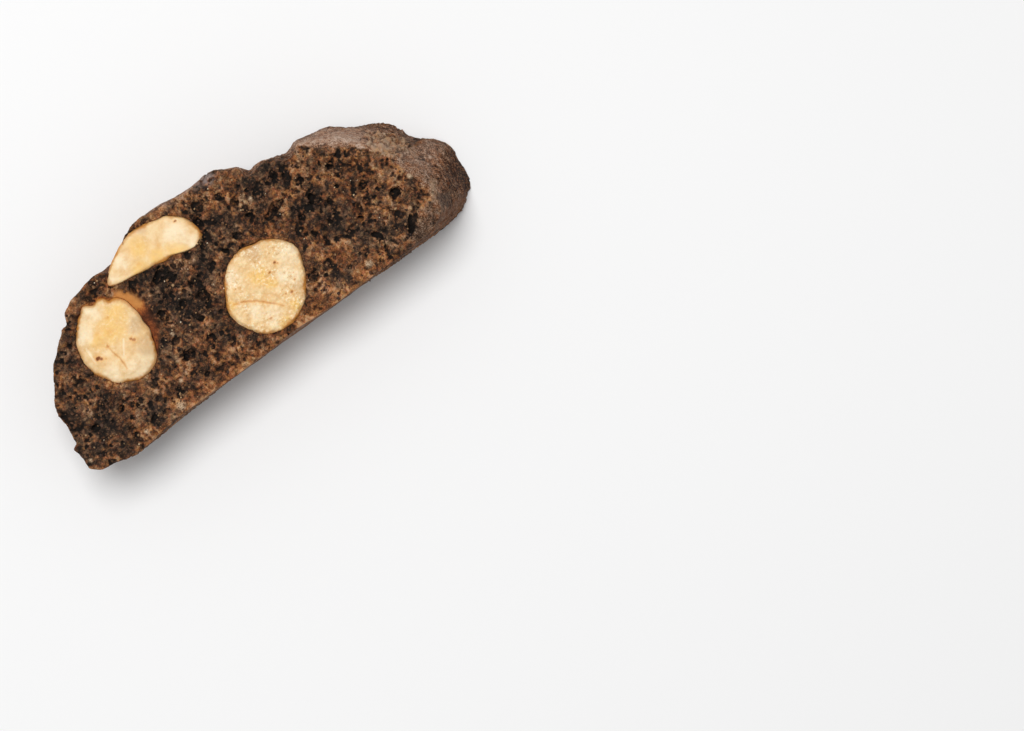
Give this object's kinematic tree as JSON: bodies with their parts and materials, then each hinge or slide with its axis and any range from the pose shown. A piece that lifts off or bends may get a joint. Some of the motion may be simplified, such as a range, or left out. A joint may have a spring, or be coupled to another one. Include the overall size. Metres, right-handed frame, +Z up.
{
  "type": "biscotti",
  "caption": "Bias-cut slice of twice-baked chocolate biscotti: flat baked base, domed crust, porous crumb, and whole hazelnuts cut flush at its faces.",
  "frame": {"origin": "on the surface that the slice lies on, under the middle of its bounding box", "axes": "+X along the flat baked base of the loaf, +Y from that base to the domed top, +Z up through the slice from the cut face it lies on to the cut face that shows"},
  "size_m": [0.0762, 0.03, 0.0144],
  "materials": {
    "chocolate_dough": "dry baked chocolate crumb, open and granular on the cut faces, with a paler greyish crust",
    "hazelnut": "knife-cut roasted hazelnut kernel, satin, cream with a golden middle and an ochre rim"
  },
  "bodies": {
    "root": {"dough": "chocolate_dough", "nut_left": "hazelnut", "nut_middle": "hazelnut", "nut_half": "hazelnut", "nut_under_right": "hazelnut", "nut_under_left": "hazelnut"}
  },
  "joints": []
}
